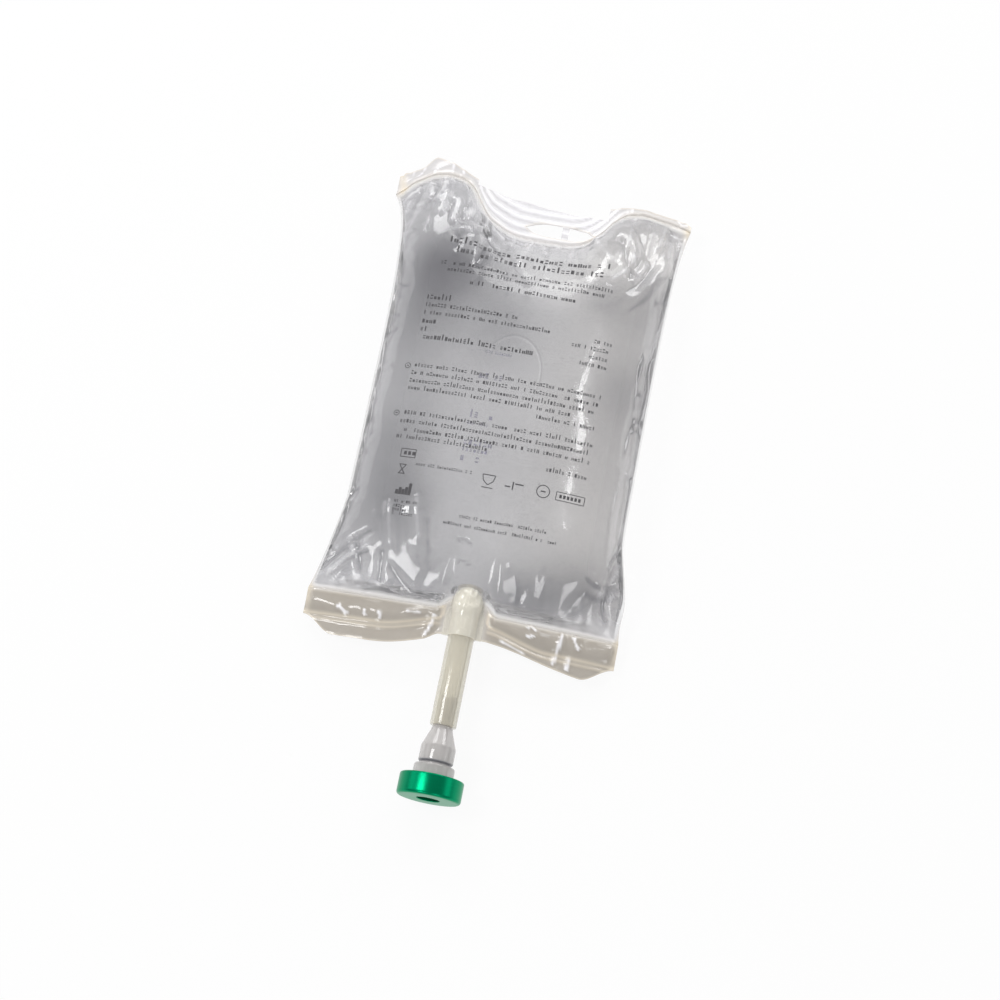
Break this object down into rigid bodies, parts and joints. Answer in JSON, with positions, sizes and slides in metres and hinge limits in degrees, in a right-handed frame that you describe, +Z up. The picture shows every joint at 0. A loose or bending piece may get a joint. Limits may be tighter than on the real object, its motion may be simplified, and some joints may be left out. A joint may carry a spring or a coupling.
{
  "type": "irrigation fluid bag",
  "caption": "Full soft film bag of clear fluid lying on its back, with a hanging slot between two ears, a welded flap and a short tube port under a green crimped cap.",
  "frame": {"origin": "under the middle of the bag's box, on the surface that it lies on", "axes": "+Y along the bag from the cap to the hanging strip, +Z up through its thickness, print side up"},
  "size_m": [0.1334, 0.2852, 0.0326],
  "materials": {
    "clear_film": "clear soft film with a wet gloss",
    "saline": "clear water",
    "soft_tube": "hazy soft tubing",
    "clear_plastic": "clear hard plastic",
    "grey_rubber": "dull moulded rubber",
    "green_aluminium": "green anodised, satin gloss"
  },
  "bodies": {
    "root": {"bag_film": "clear_film", "saline_fill": "saline", "port_tube": "soft_tube", "port_adapter": "clear_plastic", "rubber_stopper": "grey_rubber", "crimp_cap": "green_aluminium"}
  },
  "joints": []
}
